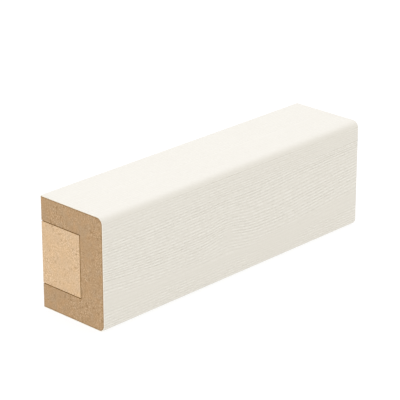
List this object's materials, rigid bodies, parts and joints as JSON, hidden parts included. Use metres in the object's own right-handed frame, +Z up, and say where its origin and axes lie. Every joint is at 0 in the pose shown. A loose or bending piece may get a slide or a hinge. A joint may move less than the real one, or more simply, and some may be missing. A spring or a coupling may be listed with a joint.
{
  "type": "decorative slat moulding",
  "caption": "Square-cut length of decorative wall slat: an MDF channel bar with rounded front edges, wrapped in off-white wood-grain film, with a mounting batten seated in its back groove.",
  "frame": {"origin": "middle of the slat's underside, on the surface that it lies on", "axes": "+X along the slat, +Y from the film-covered front towards the wall side with the batten, +Z up from the underside; the section is 29 mm deep in Y and 40 mm high in Z"},
  "size_m": [0.126, 0.029, 0.04],
  "materials": {
    "bar_mdf": "matt raw medium-density fibreboard, mid brown with fine dark specks, sawn across at the ends",
    "decor_film": "satin off-white decor film, embossed with a fine wood grain along the slat",
    "batten_mdf": "matt raw medium-density fibreboard, pale straw brown with fine specks, sawn across at the ends"
  },
  "bodies": {
    "root": {"mdf_bar": "bar_mdf", "decor_film": "decor_film", "mounting_batten": "batten_mdf"}
  },
  "joints": []
}
